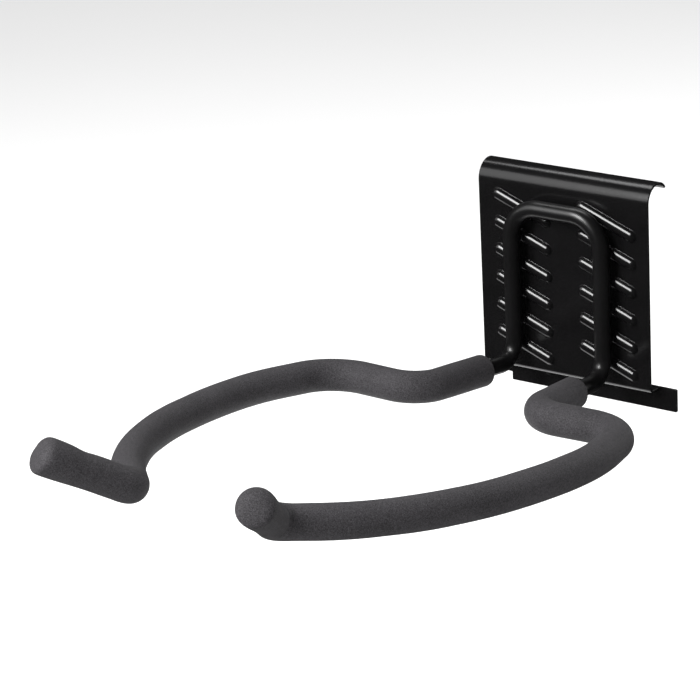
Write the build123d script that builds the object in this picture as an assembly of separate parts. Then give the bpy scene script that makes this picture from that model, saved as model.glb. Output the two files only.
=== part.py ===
from build123d import *
import math
import os

# Bicycle cradle for a wall rail. Millimetres.
# X runs to the right as one faces the wall, +Y into the wall, +Z up.
# The origin is the centre of the back plate's flat back face, which bears on the rail.

# Back plate: one pressed sheet
sheet = 1.5
plate_width = 120.0
plate_height = 130.0

# Rolled hook along the plate's top
hook_radius = 11.5
hook_wrap = 144.0

# Bottom edge: a ledge folded back, then a flange folded down
flange_back = 12.0
flange_drop = 8.2
fold_radius = 2.4
front_fold_radius = 3.6

# Raised beads pressed into the plate, in two columns
bead_rows = 6
bead_pitch = 17.6
bead_top_row = 39.7
bead_column = 30.0
bead_shift = 1.0
bead_length = 44.5
bead_width = 8.0
bead_height = 2.6
bead_slope = -21.0
bead_crown = 3.7
bead_wall = 1.2

# Bent tube
tube_radius = 5.2
tube_wall = 1.2
tube_gap = 0.2
leg_spacing = 64.0
leg_top = 43.3
leg_top_bend = 20.0
leg_foot_bend = 13.0
arm_root_height = -57.7
arm_rise = 0.10
tip_lift = 1.0
elbow_bend = 19.5
shoulder_bend = 29.0
tip_bend = 13.0
bend_share = 0.45

# Foam sleeves
foam_radius = 10.0
foam_fit = 0.05
foam_start = 43.0
foam_lip = 1.5
foam_tip_radius = 11.0
foam_swelling = 26.0
foam_dome = 7.0
foam_dome_round = 6.4

# Caps in the tube's ends
plug_head = 1.6
plug_depth = 8.0
plug_fit = 0.05

# Lock bar, which slides left and down in front of the flange to let go of the rail
bar_length = 118.6
bar_front = 8.7
bar_bottom = 12.7
bar_top = 0.8
bar_shift = 12.0
bar_drop = 2.4
bar_corner = 0.6
tab_length = 20.0
tab_height = 1.7
notch_length = 21.0
notch_play = 0.5

# Headed pins that carry the bar and run in the flange's slots
pin_places = (-20.0, 30.0)
pin_below = 3.35
pin_radius = 1.3
pin_fit = 0.02
slot_fit = 0.08
pin_head_radius = 2.75
pin_head = 1.2
pin_slack = 0.15

# Weld between the tube's legs and the raised beads
weld_length = 9.6
weld_depth = 3.0
weld_breadth = 4.4
weld_round = 1.2

plate_bottom = -plate_height / 2
plate_top = plate_height / 2
ledge_top = plate_bottom + sheet
half_width = plate_width / 2
half_legs = leg_spacing / 2
bead_crest = -sheet - bead_height
tube_y = bead_crest - tube_gap - tube_radius


def arm_height(y):
    """Height of the arms' centreline, which climbs gently away from the wall."""
    return arm_root_height - arm_rise * y


# The right arm's centreline: each point is a corner that a bend rounds
neck_foot = (half_legs, tube_y, arm_height(tube_y))
elbow = (39.6, -101.6, arm_height(-101.6))
shoulder = (104.0, -99.0, arm_height(-99.0))
flank = (119.0, -156.0, arm_height(-156.0))
front = (118.8, -199.0, arm_height(-199.0))
rounding = (111.9, -248.5, arm_height(-248.5))
closing = (96.8, -291.0, arm_height(-291.0))
hooking = (75.4, -325.0, arm_height(-325.0))
tip_corner = (47.9, -352.4, arm_height(-352.4) + tip_lift)
tip_end = (69.6, -392.5, 5.5)


def widest_bend(before, corner, after):
    """The largest bend radius that two runs leave room for at their corner."""
    run_in = Vector(*corner) - Vector(*before)
    run_out = Vector(*after) - Vector(*corner)
    half_turn = math.radians(run_in.get_angle(run_out)) / 2
    return bend_share * min(run_in.length, run_out.length) / math.tan(half_turn)


arm_corners = [elbow, shoulder, flank, front, rounding, closing, hooking, tip_corner]
arm_bends = [
    elbow_bend,
    shoulder_bend,
    widest_bend(shoulder, flank, front),
    widest_bend(flank, front, rounding),
    widest_bend(front, rounding, closing),
    widest_bend(rounding, closing, hooking),
    widest_bend(closing, hooking, tip_corner),
    tip_bend,
]


def arm_tip(short):
    """A point on the tip's straight run, a given distance short of its end."""
    run = Vector(*tip_end) - Vector(*tip_corner)
    return Vector(*tip_end) - run.normalized() * short


def arm_path(short):
    """The right arm's centreline from where the foam starts."""
    neck = Vector(*elbow) - Vector(*neck_foot)
    start = Vector(*neck_foot) + neck * ((-foam_start - tube_y) / neck.Y)
    return FilletPolyline(start, *arm_corners, arm_tip(short), radius=arm_bends)


def tube_path():
    """The whole tube's centreline, from the left arm's tip to the right arm's."""
    right_side = [(half_legs, tube_y, leg_top), neck_foot, *arm_corners, arm_tip(plug_head)]
    left_side = [(-x, y, z) for x, y, z in reversed(right_side)]
    bends = [leg_top_bend, leg_foot_bend, *arm_bends]
    return FilletPolyline(*left_side, *right_side, radius=bends[::-1] + bends)


def round_bar(path, radius):
    """A round bar along a path of straight runs and bends."""
    profile = Plane(origin=path @ 0, z_dir=path % 0) * Circle(radius)
    return sweep(profile, path=path)


def box_between(low, high):
    size = [b - a for a, b in zip(low, high)]
    middle = [(a + b) / 2 for a, b in zip(low, high)]
    return Pos(*middle) * Box(*size)


def sheet_profile():
    """The pressed sheet's section: hook, flat, ledge and flange."""
    centre_y = hook_radius - sheet
    centre_z = plate_top - hook_radius
    tip_angle = 180 - hook_wrap

    def on_hook(radius, degrees):
        angle = math.radians(degrees)
        return (0, centre_y + radius * math.cos(angle), centre_z + radius * math.sin(angle))

    inner = hook_radius - sheet
    flange_bottom = plate_bottom - flange_drop
    flange_front = flange_back - sheet
    outline = [
        ThreePointArc(on_hook(hook_radius, 180), on_hook(hook_radius, 90), on_hook(hook_radius, tip_angle)),
        Line(on_hook(hook_radius, tip_angle), on_hook(inner, tip_angle)),
        ThreePointArc(on_hook(inner, tip_angle), on_hook(inner, 90), on_hook(inner, 180)),
        Polyline(
            (0, 0, centre_z),
            (0, 0, ledge_top),
            (0, flange_back, ledge_top),
            (0, flange_back, flange_bottom),
            (0, flange_front, flange_bottom),
            (0, flange_front, plate_bottom),
            (0, -sheet, plate_bottom),
            (0, -sheet, centre_z),
        ),
    ]
    return make_face(Curve() + outline)


def round_folds(plate):
    """Rounds both folds of the bottom edge, inside and outside."""
    folds = [
        (-sheet, plate_bottom, front_fold_radius),
        (0, ledge_top, front_fold_radius - sheet),
        (flange_back, ledge_top, fold_radius),
        (flange_back - sheet, plate_bottom, fold_radius - sheet),
    ]
    for y, z, radius in folds:
        edges = plate.edges().filter_by(Axis.X)
        fold = edges.sort_by(lambda e: math.hypot(e.center().Y - y, e.center().Z - z))[0]
        plate = fillet(fold, radius)
    return plate


def bead_places():
    """Centre of each raised bead, as (x, z)."""
    return [
        (side * bead_column + bead_shift, bead_top_row - row * bead_pitch)
        for row in range(bead_rows)
        for side in (-1, 1)
    ]


def bead_shape(place, inset, height):
    """A round-crowned bead that stands forward from the plate's back face."""
    x, z = place
    plane = Plane(origin=(x, 0, z), x_dir=(1, 0, 0), z_dir=(0, -1, 0))
    outline = SlotOverall(bead_length - 2 * inset, bead_width - 2 * inset, rotation=bead_slope)
    bead = extrude(plane * outline, amount=height)
    crest = bead.faces().sort_by(Axis.Y)[0]
    return fillet(crest.edges(), bead_crown - inset)


def slanted_slot(x):
    """The slot in the flange that one of the bar's pins runs in."""
    travel = math.hypot(bar_shift, bar_drop)
    slant = math.degrees(math.atan2(bar_drop, bar_shift))
    middle = (x - bar_shift / 2, flange_back, plate_bottom - pin_below - bar_drop / 2)
    plane = Plane(origin=middle, x_dir=(1, 0, 0), z_dir=(0, -1, 0))
    outline = SlotCenterToCenter(travel, 2 * (pin_radius + slot_fit), rotation=slant)
    return extrude(plane * outline, amount=2 * sheet, both=True)


def back_plate():
    plate = extrude(sheet_profile(), amount=half_width, dir=(1, 0, 0), both=True)
    plate = round_folds(plate)
    for place in bead_places():
        plate += bead_shape(place, 0, sheet + bead_height)
    for place in bead_places():
        plate -= bead_shape(place, bead_wall, bead_height)
    for x in pin_places:
        plate -= slanted_slot(x)
    notch_low = (half_width - notch_length, bar_front - notch_play, plate_bottom - flange_drop - sheet)
    notch_high = (half_width + sheet, flange_back + sheet, ledge_top + sheet)
    plate -= box_between(notch_low, notch_high)
    return plate


def lock_bar():
    """A flat bar with plain pin holes and a raised tab at its right end."""
    right = half_width + bar_shift
    left = right - bar_length
    low = plate_bottom - bar_bottom
    top = plate_bottom - bar_top
    blank = box_between((left, bar_front, low), (right, bar_front + sheet, top))
    blank += box_between(
        (right - tab_length, bar_front, low), (right, bar_front + sheet, plate_bottom + tab_height)
    )
    corners = blank.edges().filter_by(Axis.Y)
    outer = [e for e in corners if not low + sheet < e.center().Z < plate_bottom + sheet]
    bar = fillet(outer, bar_corner)
    for x in pin_places:
        bar -= y_rod(x, bar_front - sheet, bar_front + 2 * sheet, pin_radius + pin_fit)
    return bar


def y_rod(x, start, end, radius):
    """A round rod along Y at the height of the bar's pins."""
    plane = Plane(origin=(x, start, plate_bottom - pin_below), z_dir=(0, 1, 0))
    return extrude(plane * Circle(radius), amount=end - start)


def lock_pins():
    """Two pins, flush with the bar's front, with round heads behind the flange."""
    head_start = flange_back + pin_slack
    pins = []
    for x in pin_places:
        shank = y_rod(x, bar_front, head_start, pin_radius)
        head = y_rod(x, head_start, head_start + pin_head, pin_head_radius)
        rim = head.edges().sort_by(Axis.Y)[-1]
        pins.append(shank + fillet(rim, pin_head / 2))
    return Compound(pins)


def tube_outside():
    return round_bar(tube_path(), tube_radius)


def cradle_tube():
    return tube_outside() - round_bar(tube_path(), tube_radius - tube_wall)


def right_sleeve():
    """Foam over the right arm, open at the neck and closed over the tip."""
    core = arm_path(0)
    skin = round_bar(core, foam_radius)
    lip = skin.faces().sort_by(Axis.Y)[-1]
    skin = fillet(lip.edges(), foam_lip)
    tip_run = Vector(*tip_end) - Vector(*tip_corner)
    low_end = Plane(origin=arm_tip(foam_swelling), z_dir=tip_run)
    upright = (Align.CENTER, Align.CENTER, Align.MIN)
    skin += low_end * Cone(foam_radius, foam_tip_radius, foam_swelling, align=upright)
    dome = extrude(Plane(origin=tip_end, z_dir=tip_run) * Circle(foam_tip_radius), amount=foam_dome)
    dome_edge = dome.edges().sort_by(Axis(tip_corner, tip_run))[-1]
    skin += fillet(dome_edge, foam_dome_round)
    return skin - round_bar(core, tube_radius + foam_fit)


def right_plug():
    """A cap that closes the tube's end inside the foam."""
    inward = Vector(*tip_corner) - Vector(*tip_end)
    seat = Plane(origin=tip_end, z_dir=inward)
    head = extrude(seat * Circle(tube_radius), amount=plug_head)
    stem = extrude(seat * Circle(tube_radius - tube_wall - plug_fit), amount=plug_head + plug_depth)
    return head + stem


def weld_beads(plate, leg):
    """Short welds between the legs' straight stretch and the raised beads that they cross."""
    straight_low = neck_foot[2] + leg_foot_bend + weld_breadth
    straight_high = leg_top - leg_top_bend
    blank = Box(weld_length, weld_depth, weld_breadth)
    blank = fillet(blank.edges().filter_by(Axis.Y), weld_round)
    welds = []
    for x, z in bead_places():
        leg_x = math.copysign(half_legs, x)
        crossing = z + (leg_x - x) * math.tan(math.radians(bead_slope))
        if straight_low < crossing < straight_high:
            weld = Pos(leg_x, bead_crest, crossing) * Rot(0, -bead_slope, 0) * blank
            welds.extend((weld - leg - plate).solids())
    return Compound(welds)


plate = back_plate()
sleeve = right_sleeve()
plug = right_plug()
pieces = {
    "back_plate": plate,
    "cradle_tube": cradle_tube(),
    "weld_beads": weld_beads(plate, tube_outside()),
    "foam_sleeve_right": sleeve,
    "foam_sleeve_left": mirror(sleeve, about=Plane.YZ),
    "tube_plugs": Compound([*plug.solids(), *mirror(plug, about=Plane.YZ).solids()]),
    "lock_bar": lock_bar(),
    "lock_pins": lock_pins(),
}

os.makedirs("parts", exist_ok=True)
for name, piece in pieces.items():
    export_step(piece, f"parts/{name}.step")
    print(name, round(piece.volume), "mm3")
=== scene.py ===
import math
import bmesh
import bpy
from mathutils import Matrix, Vector, noise


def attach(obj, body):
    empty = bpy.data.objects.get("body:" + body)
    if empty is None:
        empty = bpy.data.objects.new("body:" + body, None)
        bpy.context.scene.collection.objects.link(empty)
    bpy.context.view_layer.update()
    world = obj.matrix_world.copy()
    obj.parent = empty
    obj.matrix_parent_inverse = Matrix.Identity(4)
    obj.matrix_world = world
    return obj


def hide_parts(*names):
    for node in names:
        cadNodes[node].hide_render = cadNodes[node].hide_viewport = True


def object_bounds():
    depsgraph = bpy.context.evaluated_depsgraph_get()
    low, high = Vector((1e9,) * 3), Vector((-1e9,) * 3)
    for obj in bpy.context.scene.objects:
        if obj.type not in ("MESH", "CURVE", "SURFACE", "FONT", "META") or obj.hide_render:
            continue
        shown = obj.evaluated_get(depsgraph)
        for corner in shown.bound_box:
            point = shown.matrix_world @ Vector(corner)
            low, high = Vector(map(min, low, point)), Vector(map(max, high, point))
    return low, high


print("loading the frame")
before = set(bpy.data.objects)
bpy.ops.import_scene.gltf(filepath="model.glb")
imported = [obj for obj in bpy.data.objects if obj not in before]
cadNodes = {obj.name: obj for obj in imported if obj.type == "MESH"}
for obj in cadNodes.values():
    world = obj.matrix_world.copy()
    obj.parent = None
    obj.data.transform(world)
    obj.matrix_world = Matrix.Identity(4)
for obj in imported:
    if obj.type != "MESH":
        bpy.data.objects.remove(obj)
cadBox = [list(corner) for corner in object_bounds()]
mm = 0.001


class Wire:
    # One socket of a node tree, so that shader maths reads as plain arithmetic.
    def __init__(self, finish, socket):
        self.finish = finish
        self.socket = socket

    def maths(self, operation, first, second):
        return self.finish.add("ShaderNodeMath", {"operation": operation}, {0: first, 1: second})

    def __add__(self, other):
        return self.maths("ADD", self, other)

    def __radd__(self, other):
        return self.maths("ADD", other, self)

    def __sub__(self, other):
        return self.maths("SUBTRACT", self, other)

    def __rsub__(self, other):
        return self.maths("SUBTRACT", other, self)

    def __mul__(self, other):
        return self.maths("MULTIPLY", self, other)

    def clamped(self):
        return self.maths("MAXIMUM", self.maths("MINIMUM", self, 1.0), 0.0)


class Finish:
    # A material under construction around its Principled shader.
    def __init__(self, name):
        self.material = bpy.data.materials.new(name)
        self.material.use_nodes = True
        self.tree = self.material.node_tree
        self.surface = self.tree.nodes["Principled BSDF"]

    def feed(self, socket, value):
        if isinstance(value, Wire):
            self.tree.links.new(value.socket, socket)
        else:
            socket.default_value = value

    def add(self, kind, settings, sockets, output=0):
        node = self.tree.nodes.new(kind)
        for key, value in settings.items():
            if key == "stops":
                self.setStops(node.color_ramp, value)
            else:
                setattr(node, key, value)
        for key, value in sockets.items():
            self.feed(node.inputs[key], value)
        return Wire(self, node.outputs[output])

    def setStops(self, ramp, stops):
        while len(ramp.elements) < len(stops):
            ramp.elements.new(1.0)
        for element, (place, level) in zip(ramp.elements, stops):
            element.position = place
            element.color = (level, level, level, 1.0)

    def place(self):
        return self.add("ShaderNodeTexCoord", {}, {}, "Object")

    def grain(self, scale, detail=2.0, roughness=0.5):
        sockets = {"Vector": self.place(), "Scale": scale, "Detail": detail, "Roughness": roughness}
        return self.add("ShaderNodeTexNoise", {}, sockets)

    def cells(self, scale):
        return self.add("ShaderNodeTexVoronoi", {}, {"Vector": self.place(), "Scale": scale}, "Distance")

    def ramp(self, factor, stops):
        return self.add("ShaderNodeValToRGB", {"stops": stops}, {"Fac": factor})

    def blend(self, factor, first, second):
        settings = {"data_type": "RGBA", "blend_type": "MIX"}
        return self.add("ShaderNodeMix", settings, {0: factor, 6: first, 7: second}, 2)

    def bump(self, height, distance, strength=1.0, normal=None):
        sockets = {"Height": height, "Distance": distance, "Strength": strength}
        if normal:
            sockets["Normal"] = normal
        return self.add("ShaderNodeBump", {}, sockets)

    def dress(self, **sockets):
        for key, value in sockets.items():
            self.feed(self.surface.inputs[key.replace("_", " ")], value)
        return self.material


def grey(level, tint=0.0):
    return (level, level * (1 - tint), level * (1 + tint / 2), 1.0)


# Noise runs from 0 to 1, so this is taken off to swing a value both ways.
noiseMiddle = 0.5


powderCoat = {
    "black": 0.0022,
    "blackTint": 0.03,
    # Pale tone that the black is lightened toward by painted edge highlights, real dust and random cloudy
    # patches.
    "paleDustAndHighlight": 0.016,
    "paleDustAndHighlightTint": 0.05,
    "roughness": 0.15,
    "roughnessSwing": 0.07,
    "dustRoughness": 0.06,
    "cloudScale": 38.0,
    "dustScale": 2600.0,
    "dustStops": [(0.60, 0.0), (0.74, 1.0)],
    "peelScale": 520.0,
    "peelRoughness": 0.45,
    "peelDepth": 0.00003,
    "fineRatio": 3.1,
    "fineShare": 0.25,
    "edgeRadius": 0.00045,
    "edgeGain": 6.0,
    # Shares of the pale tone: painted highlight along edges, real dust, and random cloudy tone.
    "highlightDustAndCloud": {"edge": 0.5, "dust": 0.10, "cloud": 0.18},
    "specular": 0.40,
}


def edgeMask(coat, radius, gain):
    # How far the rounded normal leans away from the flat one: this marks pressed and cut edges, which get a
    # painted highlight in the base colour.
    rounded = coat.add("ShaderNodeBevel", {"samples": 4}, {"Radius": radius})
    flat = coat.add("ShaderNodeNewGeometry", {}, {}, "Normal")
    settings = {"operation": "DOT_PRODUCT"}
    lean = coat.add("ShaderNodeVectorMath", settings, {0: rounded, 1: flat}, "Value")
    return rounded, ((1 - lean) * gain).clamped()


def makePowderCoat(name, settings):
    coat = Finish(name)
    rounded, edge = edgeMask(coat, settings["edgeRadius"], settings["edgeGain"])
    cloud = coat.grain(settings["cloudScale"], 3.0)
    dust = coat.ramp(coat.grain(settings["dustScale"], 1.0), settings["dustStops"])
    peel = coat.grain(settings["peelScale"], 2.0, settings["peelRoughness"])
    fine = coat.grain(settings["peelScale"] * settings["fineRatio"], 1.0)
    share = settings["highlightDustAndCloud"]
    # Painted highlight along edges, plus real dust and random cloudy tone, lightens the base colour.
    highlightDustAndCloud = (edge * share["edge"] + dust * share["dust"] + cloud * share["cloud"]).clamped()
    black = grey(settings["black"], settings["blackTint"])
    paleDustAndHighlight = grey(settings["paleDustAndHighlight"], settings["paleDustAndHighlightTint"])
    cloudy = settings["roughness"] + cloud * settings["roughnessSwing"]
    return coat.dress(
        Base_Color=coat.blend(highlightDustAndCloud, black, paleDustAndHighlight),
        Roughness=cloudy + dust * settings["dustRoughness"],
        Normal=coat.bump(peel + fine * settings["fineShare"], settings["peelDepth"], 1.0, rounded),
        Specular_IOR_Level=settings["specular"],
    )


foamSkin = {
    "dark": 0.012,
    "darkTint": 0.05,
    "pale": 0.055,
    "paleTint": 0.06,
    "middle": 0.47,
    "speckle": {"scale": 1900.0, "detail": 2.0, "roughness": 0.7},
    "coarse": {"scale": 760.0, "detail": 2.0, "roughness": 0.6},
    "mottle": {"scale": 30.0, "detail": 3.0, "roughness": 0.55},
    "contrast": {"speckle": 2.6, "coarse": 0.7, "mottle": 0.4},
    "poreScale": 1250.0,
    "pitScale": 562.5,
    "pitStops": [(0.0, 0.0), (0.30, 1.0)],
    "relief": {"pores": 0.5, "speckle": 0.6, "coarse": 0.5, "pits": 0.25},
    "reliefDepth": 0.00016,
    "reliefStrength": 0.9,
    "roughness": 0.70,
    "roughnessSwing": 0.16,
    "specular": 0.17,
    "sheen": 0.03,
    "sheenRoughness": 0.55,
    "sheenTone": 0.75,
}


def makeFoam(name, settings):
    foam = Finish(name)
    speckle = foam.grain(**settings["speckle"])
    coarse = foam.grain(**settings["coarse"])
    mottle = foam.grain(**settings["mottle"])
    pores = foam.cells(settings["poreScale"])
    pits = foam.ramp(foam.cells(settings["pitScale"]), settings["pitStops"])
    contrast, relief = settings["contrast"], settings["relief"]
    tone = (speckle - noiseMiddle) * contrast["speckle"] + (coarse - noiseMiddle) * contrast["coarse"]
    tone = tone + (mottle - noiseMiddle) * contrast["mottle"] + settings["middle"]
    height = pores * relief["pores"] + speckle * relief["speckle"]
    height = height + coarse * relief["coarse"] + pits * relief["pits"]
    dark = grey(settings["dark"], settings["darkTint"])
    pale = grey(settings["pale"], settings["paleTint"])
    roughness = settings["roughness"] + (speckle - noiseMiddle) * settings["roughnessSwing"]
    return foam.dress(
        Base_Color=foam.blend(tone.clamped(), dark, pale),
        Roughness=roughness.clamped(),
        Normal=foam.bump(height, settings["reliefDepth"], settings["reliefStrength"]),
        Specular_IOR_Level=settings["specular"],
        Sheen_Weight=settings["sheen"],
        Sheen_Roughness=settings["sheenRoughness"],
        Sheen_Tint=grey(settings["sheenTone"]),
    )


plugPlastic = {
    "dark": 0.012,
    "pale": 0.022,
    "grainScale": 900.0,
    "grainDepth": 0.00004,
    "grainStrength": 0.6,
    "roughness": 0.5,
    "roughnessSwing": 0.2,
}


def makeBlackPlastic(name, settings):
    plastic = Finish(name)
    grainy = plastic.grain(settings["grainScale"], 2.0)
    return plastic.dress(
        Base_Color=plastic.blend(grainy, grey(settings["dark"]), grey(settings["pale"])),
        Roughness=settings["roughness"] + (grainy - noiseMiddle) * settings["roughnessSwing"],
        Normal=plastic.bump(grainy, settings["grainDepth"], settings["grainStrength"]),
    )


print("mixing the finishes")
sheetBlack = makePowderCoat("powderCoatSheet", powderCoat)
tubeBlack = makePowderCoat("powderCoatTube", dict(powderCoat, roughness=0.27, peelScale=640.0))
foamGrey = makeFoam("closedCellFoam", foamSkin)
plugBlack = makeBlackPlastic("plugPlastic", plugPlastic)


# The tube's bent line in millimetres: the loop on the plate, the right arm's corners in plan, and the bends.
tubeLine = {
    "radius": 5.2,
    "top": 43.3,
    "legs": 32.0,
    "standOff": -9.5,
    "rootHeight": -57.7,
    "rise": 0.10,
    "topBend": 20.0,
    "footBend": 13.0,
    "plan": [
        (39.6, -101.6),
        (104.0, -99.0),
        (119.0, -156.0),
        (118.8, -199.0),
        (111.9, -248.5),
        (96.8, -291.0),
        (75.4, -325.0),
    ],
    "tipCorner": (47.9, -352.4, 1.0),
    "tipEnd": (69.6, -392.5, 5.5),
    "elbowBend": 19.5,
    "shoulderBend": 29.0,
    "tipBend": 13.0,
    "bendShare": 0.45,
    "fewestSteps": 4,
    "plugHead": 1.6,
}
# Where the arm's own bends stand in its list of bends.
elbowPlace = 0
shoulderPlace = 1
tipPlace = len(tubeLine["plan"])


def armHeight(y):
    return tubeLine["rootHeight"] - tubeLine["rise"] * y


def armCorners():
    legs, standOff = tubeLine["legs"], tubeLine["standOff"]
    tipX, tipY, tipLift = tubeLine["tipCorner"]
    corners = [(legs, standOff, armHeight(standOff))]
    corners += [(x, y, armHeight(y)) for x, y in tubeLine["plan"]]
    corners += [(tipX, tipY, armHeight(tipY) + tipLift), tubeLine["tipEnd"]]
    return [Vector(corner) * mm for corner in corners]


def bendRadii(corners):
    # Tight bends have their own radius; the long sweep takes the largest that its runs leave room for.
    own = {
        elbowPlace: tubeLine["elbowBend"],
        shoulderPlace: tubeLine["shoulderBend"],
        tipPlace: tubeLine["tipBend"],
    }
    share, radii = tubeLine["bendShare"], []
    for i in range(1, len(corners) - 1):
        runIn, runOut = corners[i] - corners[i - 1], corners[i + 1] - corners[i]
        widest = share * min(runIn.length, runOut.length) / math.tan(runIn.angle(runOut) / 2)
        radii.append(own[i - 1] * mm if i - 1 in own else widest)
    return radii


def bentLine(corners, radii, step):
    # Points along straight runs and tangent bends, each with the bend that it lies on:
    # the bend's place in the list, its centre, and how far round it the point is.
    points = [(corners[0], None)]
    for i, radius in enumerate(radii, 1):
        inward = (corners[i - 1] - corners[i]).normalized()
        onward = (corners[i + 1] - corners[i]).normalized()
        turn = math.pi - inward.angle(onward)
        reach = radius * math.tan(turn / 2)
        start, centreLine = corners[i] + inward * reach, (inward + onward).normalized()
        centre = corners[i] + centreLine * (radius / math.cos(turn / 2))
        axis = inward.cross(onward).normalized()
        addRun(points, start, step)
        arcSteps = max(tubeLine["fewestSteps"], round(radius * turn / step))
        for k in range(1, arcSteps + 1):
            spoke = Matrix.Rotation(-turn * k / arcSteps, 3, axis) @ (start - centre)
            points.append((centre + spoke, (i - 1, centre, k / arcSteps)))
    addRun(points, corners[-1], step)
    return points


def addRun(points, end, step):
    start = points[-1][0]
    count = max(1, round((end - start).length / step))
    for k in range(1, count + 1):
        points.append((start.lerp(end, k / count), None))


def sweptFrames(points):
    # A steady pair of cross directions at each point, with no twist between neighbours.
    places = [place for place, bend in points]
    frames = []
    side = Vector((0, 0, 1))
    for i, place in enumerate(places):
        ahead, behind = places[min(i + 1, len(places) - 1)], places[max(i - 1, 0)]
        along = (ahead - behind).normalized()
        side = (side - along * side.dot(along)).normalized()
        frames.append((place, along, side, along.cross(side)))
    return frames


def spokes(up, across, sides):
    # The outward directions all round one ring.
    angles = [2 * math.pi * k / sides for k in range(sides)]
    return [up * math.cos(angle) + across * math.sin(angle) for angle in angles]


def meshPiece(name, vertices, faces, material):
    mesh = bpy.data.meshes.new(name)
    mesh.from_pydata([tuple(v) for v in vertices], [], faces)
    mesh.update()
    shape = bmesh.new()
    shape.from_mesh(mesh)
    bmesh.ops.recalc_face_normals(shape, faces=shape.faces)
    shape.to_mesh(mesh)
    shape.free()
    for polygon in mesh.polygons:
        polygon.use_smooth = True
    mesh.materials.append(material)
    piece = bpy.data.objects.new(name, mesh)
    bpy.context.scene.collection.objects.link(piece)
    return piece


def ringFaces(rings, sides):
    faces = []
    for r in range(rings - 1):
        here, there = r * sides, (r + 1) * sides
        for k in range(sides):
            nextK = (k + 1) % sides
            faces.append((here + k, here + nextK, there + nextK, there + k))
    return faces


print("bending the tube")
steelTube = {
    "sides": 56,
    "step": 1.4 * mm,
    "pinchedBend": 1,
    "pinchDepth": 0.75,
    "pinchFolds": 1.0,
    "pinchSpan": (0.45, 0.98),
    "pinchBase": 0.35,
    "flatten": 0.30,
}


def smoothStep(low, high, value):
    t = min(max((value - low) / (high - low), 0.0), 1.0)
    return t * t * (3 - 2 * t)


def tubeRadius(bend, place, outward):
    # The tight bends at the feet pinch on their inside: the wall folds in and the tube goes slightly flat.
    radius = tubeLine["radius"]
    if bend is None or bend[0] != steelTube["pinchedBend"]:
        return radius * mm
    _, centre, progress = bend
    inside = (centre - place).normalized().dot(outward)
    middle = math.sin(math.pi * progress)
    fold = 0.5 + 0.5 * math.cos(2 * math.pi * steelTube["pinchFolds"] * (progress - 0.5))
    base = steelTube["pinchBase"]
    pinch = steelTube["pinchDepth"] * smoothStep(*steelTube["pinchSpan"], inside)
    pinch *= middle * (base + (1 - base) * fold)
    flat = steelTube["flatten"] * middle * max(-inside, 0.0) ** 2
    return (radius - pinch - flat) * mm


def mirrored(point):
    place, bend = point
    flip = Vector((-1, 1, 1))
    if bend is None:
        return place * flip, None
    number, centre, progress = bend
    return place * flip, (number, centre * flip, progress)


def makeTube():
    arm = armCorners()
    legTop = Vector((tubeLine["legs"], tubeLine["standOff"], tubeLine["top"])) * mm
    crown = Vector((0, tubeLine["standOff"], tubeLine["top"])) * mm
    tip = arm[-1] + (arm[-2] - arm[-1]).normalized() * tubeLine["plugHead"] * mm
    corners = [crown, legTop] + arm[:-1] + [tip]
    radii = [tubeLine["topBend"] * mm, tubeLine["footBend"] * mm] + bendRadii(arm)
    half = bentLine(corners, radii, steelTube["step"])
    other = [mirrored(point) for point in half[1:]]
    points = other[::-1] + half
    sides, vertices = steelTube["sides"], []
    for (place, _, up, across), (_, bend) in zip(sweptFrames(points), points):
        for outward in spokes(up, across, sides):
            vertices.append(place + outward * tubeRadius(bend, place, outward))
    faces = ringFaces(len(points), sides)
    faces += [tuple(range(sides)), tuple(range(len(vertices) - sides, len(vertices)))]
    return meshPiece("bentTube", vertices, faces, tubeBlack)


bentTube = makeTube()
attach(bentTube, "rack")
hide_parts("cradle_tube")


print("fitting the foam")
foamSleeve = {
    "sides": 72,
    "step": 1.1 * mm,
    "radius": 10.0,
    "start": {1: -47.0, -1: -40.5},
    "seed": (3.7, 1.3, 8.1),
    "bore": 5.3,
    "boreDepths": (7.0, 0.5),
    "lip": 1.7,
    "lipRings": 7,
    "wrinklePitch": 3.1,
    "wrinkleDepth": {elbowPlace: 0.34, shoulderPlace: 0.26, tipPlace: 0.25},
    "wrinkleSpan": (0.1, 0.9),
    "crease": {elbowPlace: 0.5, tipPlace: 0.5},
    "creaseSpan": (0.2, 0.9),
    "creaseWidth": 0.13,
    "bulge": {tipPlace: 1.2},
    "fill": {tipPlace: 1.3},
    "swell": 0.14,
    "swellSize": 26.0,
    "tipSwell": 1.0,
    "tipNeck": 0.7,
    "tipLength": 30.0,
    "neckPlace": 19.0,
    "neckSpan": 6.0,
    "neckTop": (-0.4, 0.8),
    "domeRings": 22,
    "domeHeight": 6.5,
    "domeSquare": 0.5,
    "seamSpan": (-0.3, 1.0),
    "seamSharpness": 2.2,
}


def tipShape(left, outward):
    # The foam swells toward its closed end, with a faint neck on top a little way behind it.
    swell = foamSleeve["tipSwell"] * (1 - smoothStep(0, foamSleeve["tipLength"], left))
    fromNeck = (left - foamSleeve["neckPlace"]) / foamSleeve["neckSpan"]
    neck = foamSleeve["tipNeck"] * math.exp(-(fromNeck**2))
    return swell - neck * smoothStep(*foamSleeve["neckTop"], outward.z)


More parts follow.
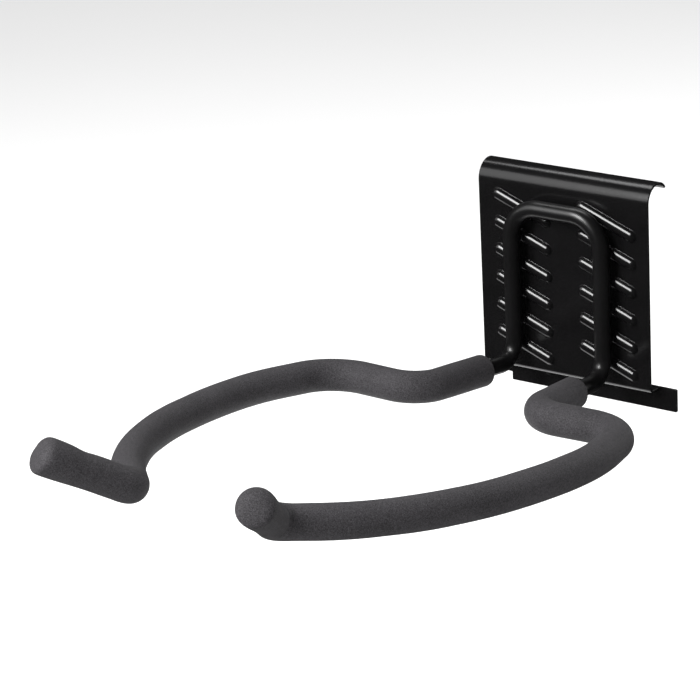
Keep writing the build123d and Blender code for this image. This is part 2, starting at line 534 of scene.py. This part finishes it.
def bendShape(bend, place, outward, walked):
    # Foam over a bend bunches into small folds and a crease inside; over the tip's bend it stands proud.
    number, centre, progress = bend
    inside = (centre - place).normalized().dot(outward)
    middle = math.sin(math.pi * progress)
    folds = foamSleeve["wrinkleDepth"].get(number, 0.0) * middle
    folds *= smoothStep(*foamSleeve["wrinkleSpan"], inside)
    wave = 0.5 + 0.5 * math.cos(2 * math.pi * walked / (foamSleeve["wrinklePitch"] * mm))
    crease = foamSleeve["crease"].get(number, 0.0) * smoothStep(*foamSleeve["creaseSpan"], inside)
    crease *= math.exp(-(((progress - 0.5) / foamSleeve["creaseWidth"]) ** 2))
    bulge = foamSleeve["bulge"].get(number, 0.0) * middle * max(-inside, 0.0)
    fill = foamSleeve["fill"].get(number, 0.0) * middle * max(inside, 0.0)
    return bulge + fill - folds * wave - crease


def foamRadius(place, outward, seed, left=math.inf, bend=None, walked=0.0):
    # Left is how far away the closed end is, in millimetres.
    swelling = noise.noise(place / (foamSleeve["swellSize"] * mm) + seed) * foamSleeve["swell"]
    radius = foamSleeve["radius"] + swelling - foamSleeve["swell"]
    if left < math.inf:
        radius += tipShape(left, outward)
    if bend is not None:
        radius += bendShape(bend, place, outward, walked)
    return radius * mm


def lipRings(start, seed):
    # Out of the bore, then over the rounded lip.
    place, along, up, across = start
    lip, bore, full = foamSleeve["lip"], foamSleeve["bore"], foamSleeve["radius"]
    rows = [(bore, depth) for depth in foamSleeve["boreDepths"]]
    for k in range(foamSleeve["lipRings"] + 1):
        turn = math.pi / 2 * k / foamSleeve["lipRings"]
        rows.append((full - lip * (1 - math.sin(turn)), lip * (1 - math.cos(turn))))
    vertices = []
    for radius, depth in rows:
        for outward in spokes(up, across, foamSleeve["sides"]):
            level = foamRadius(place, outward, seed) / (full * mm) if radius > bore else 1
            vertices.append(place + along * depth * mm + outward * radius * mm * level)
    return vertices


def bodyRings(points, frames, seed):
    total = sum((b[0] - a[0]).length for a, b in zip(points, points[1:]))
    vertices, walked, previous = [], 0.0, points[0][0]
    for (place, _, up, across), (_, bend) in zip(frames, points):
        walked += (place - previous).length
        previous = place
        if walked <= foamSleeve["lip"] * mm:
            continue
        left = (total - walked) / mm
        for outward in spokes(up, across, foamSleeve["sides"]):
            vertices.append(place + outward * foamRadius(place, outward, seed, left, bend, walked))
    return vertices


def domeRings(end, seed):
    # A blunt dome that turns squarer toward its underside.
    place, along, up, across = end
    under = (Vector((0, 0, -1)) + along * along.z).normalized()
    vertices = []
    for row in range(1, foamSleeve["domeRings"]):
        lean = math.pi / 2 * row / foamSleeve["domeRings"]
        for outward in spokes(up, across, foamSleeve["sides"]):
            seam = smoothStep(*foamSleeve["seamSpan"], outward.dot(under))
            power = 2 / (2 + foamSleeve["domeSquare"] + foamSleeve["seamSharpness"] * seam)
            radius = foamRadius(place, outward, seed, 0.0) * math.cos(lean) ** power
            rise = foamSleeve["domeHeight"] * mm * math.sin(lean) ** power
            vertices.append(place + along * rise + outward * radius)
    return vertices + [place + along * foamSleeve["domeHeight"] * mm]


def makeSleeve(name, side):
    arm = armCorners()
    neck = arm[1] - arm[0]
    start = arm[0] + neck * ((foamSleeve["start"][side] * mm - arm[0].y) / neck.y)
    points = bentLine([start] + arm[1:], bendRadii(arm), foamSleeve["step"])
    frames = sweptFrames(points)
    seedX, seedY, seedZ = foamSleeve["seed"]
    seed = Vector((seedX * side, seedY, seedZ))
    vertices = lipRings(frames[0], seed) + bodyRings(points, frames, seed) + domeRings(frames[-1], seed)
    sides, tip = foamSleeve["sides"], len(vertices) - 1
    rings = tip // sides
    last = (rings - 1) * sides
    faces = ringFaces(rings, sides)
    faces += [(last + k, last + (k + 1) % sides, tip) for k in range(sides)]
    flip = Vector((side, 1, 1))
    return meshPiece(name, [v * flip for v in vertices], faces, foamGrey)


for side, word in ((1, "right"), (-1, "left")):
    sleeve = makeSleeve("foam" + word.capitalize(), side)
    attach(sleeve, "rack")
    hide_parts("foam_sleeve_" + word)


print("dressing the steel")
for nodeName, finish in (
    ("back_plate", sheetBlack),
    ("lock_bar", sheetBlack),
    ("lock_pins", sheetBlack),
    ("weld_beads", tubeBlack),
    ("tube_plugs", plugBlack),
):
    cadNodes[nodeName].data.materials.clear()
    cadNodes[nodeName].data.materials.append(finish)


print("setting the studio")
studio = {
    "floorDrop": 0.16,
    "floorSize": 9.0,
    "floorTone": 0.88,
    "floorSwing": 0.02,
    "floorCloudScale": 3.0,
    "floorRoughness": 0.9,
    "ambient": 0.72,
    "mirrored": 0.035,
    "lamps": [
        # name, place, aim, size across, size up, watts
        ("frontSoftbox", (-0.30, -1.16, 0.84), (0.0, 0.0, 0.0), 0.46, 0.72, 26.0),
        ("leftSoftbox", (-0.92, -1.02, 0.66), (0.0, 0.0, 0.0), 1.2, 1.0, 9.0),
        ("overheadSoftbox", (-0.30, 0.35, 1.10), (0.0, -0.05, 0.0), 0.9, 0.35, 5.0),
        ("backFill", (0.50, 1.30, 0.35), (0.0, 0.0, 0.0), 0.8, 0.8, 7.0),
    ],
    "lowCard": {"place": (-0.20, 0.03), "size": (0.34, 0.24), "lift": 0.01, "watts": 0.55},
}


def makeLamp(name, place, aim, across, up, watts):
    light = bpy.data.lights.new(name, "AREA")
    light.shape = "RECTANGLE"
    light.size, light.size_y, light.energy = across, up, watts
    lamp = bpy.data.objects.new(name, light)
    lamp.location = place
    lamp.rotation_euler = (Vector(aim) - lamp.location).to_track_quat("-Z", "Y").to_euler()
    bpy.context.scene.collection.objects.link(lamp)
    return lamp


def makeLowCard(card):
    # A bright card lying under the rack, out of sight, for the faces that look down.
    x, y = card["place"]
    height = cadBox[0][2] - studio["floorDrop"] + card["lift"]
    lamp = makeLamp("lowCard", (x, y, height), (x, y, height + 1), *card["size"], card["watts"])
    lamp.visible_camera = False


def makeFloor():
    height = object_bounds()[0][2] - studio["floorDrop"]
    half = studio["floorSize"] / 2
    corners = [(-half, -half, height), (half, -half, height), (half, half, height), (-half, half, height)]
    paper = Finish("palePaper")
    low, high = studio["floorTone"], studio["floorTone"] + studio["floorSwing"]
    tone = paper.blend(paper.grain(studio["floorCloudScale"]), grey(low), grey(high))
    dressed = paper.dress(Base_Color=tone, Roughness=studio["floorRoughness"])
    floor = meshPiece("floor", corners, [(0, 1, 2, 3)], dressed)
    floor.visible_glossy = False


def makeWorld():
    # The room is bright as seen and as light, and dim in reflections, as behind black studio flags.
    world = bpy.data.worlds.new("studioWorld")
    world.use_nodes = True
    tree = world.node_tree
    rays = tree.nodes.new("ShaderNodeLightPath")
    strength = tree.nodes.new("ShaderNodeMapRange")
    strength.inputs["To Min"].default_value = studio["ambient"]
    strength.inputs["To Max"].default_value = studio["mirrored"]
    tree.links.new(rays.outputs["Is Glossy Ray"], strength.inputs["Value"])
    tree.links.new(strength.outputs["Result"], tree.nodes["Background"].inputs["Strength"])
    tree.nodes["Background"].inputs["Color"].default_value = grey(1.0)
    bpy.context.scene.world = world
    bpy.context.scene.view_settings.view_transform = "Standard"


makeFloor()
makeWorld()
for lamp in studio["lamps"]:
    makeLamp(*lamp)
makeLowCard(studio["lowCard"])


viewpoint = {
    "azimuth": 37.38,
    "elevation": 19.78,
    "roll": -2.91,
    "distance": 2.0554,
    "aim": (-0.1652, -0.0015, -0.0759),
    "lens": 164.6,
    "sensor": 36.0,
}


def makeCamera():
    azimuth, elevation, roll = (math.radians(viewpoint[key]) for key in ("azimuth", "elevation", "roll"))
    level = math.cos(elevation)
    look = Vector((-math.sin(azimuth) * level, math.cos(azimuth) * level, -math.sin(elevation)))
    across = Vector((math.cos(azimuth), math.sin(azimuth), 0))
    upright = across.cross(look)
    right = across * math.cos(roll) + upright * math.sin(roll)
    up = upright * math.cos(roll) - across * math.sin(roll)
    camera = bpy.data.objects.new("camera", bpy.data.cameras.new("camera"))
    turn = Matrix((right, up, -look)).transposed().to_4x4()
    camera.matrix_world = Matrix.Translation(Vector(viewpoint["aim"]) - look * viewpoint["distance"]) @ turn
    camera.data.lens = viewpoint["lens"]
    camera.data.sensor_width = viewpoint["sensor"]
    bpy.context.scene.collection.objects.link(camera)
    bpy.context.scene.camera = camera


makeCamera()

print("finishing")
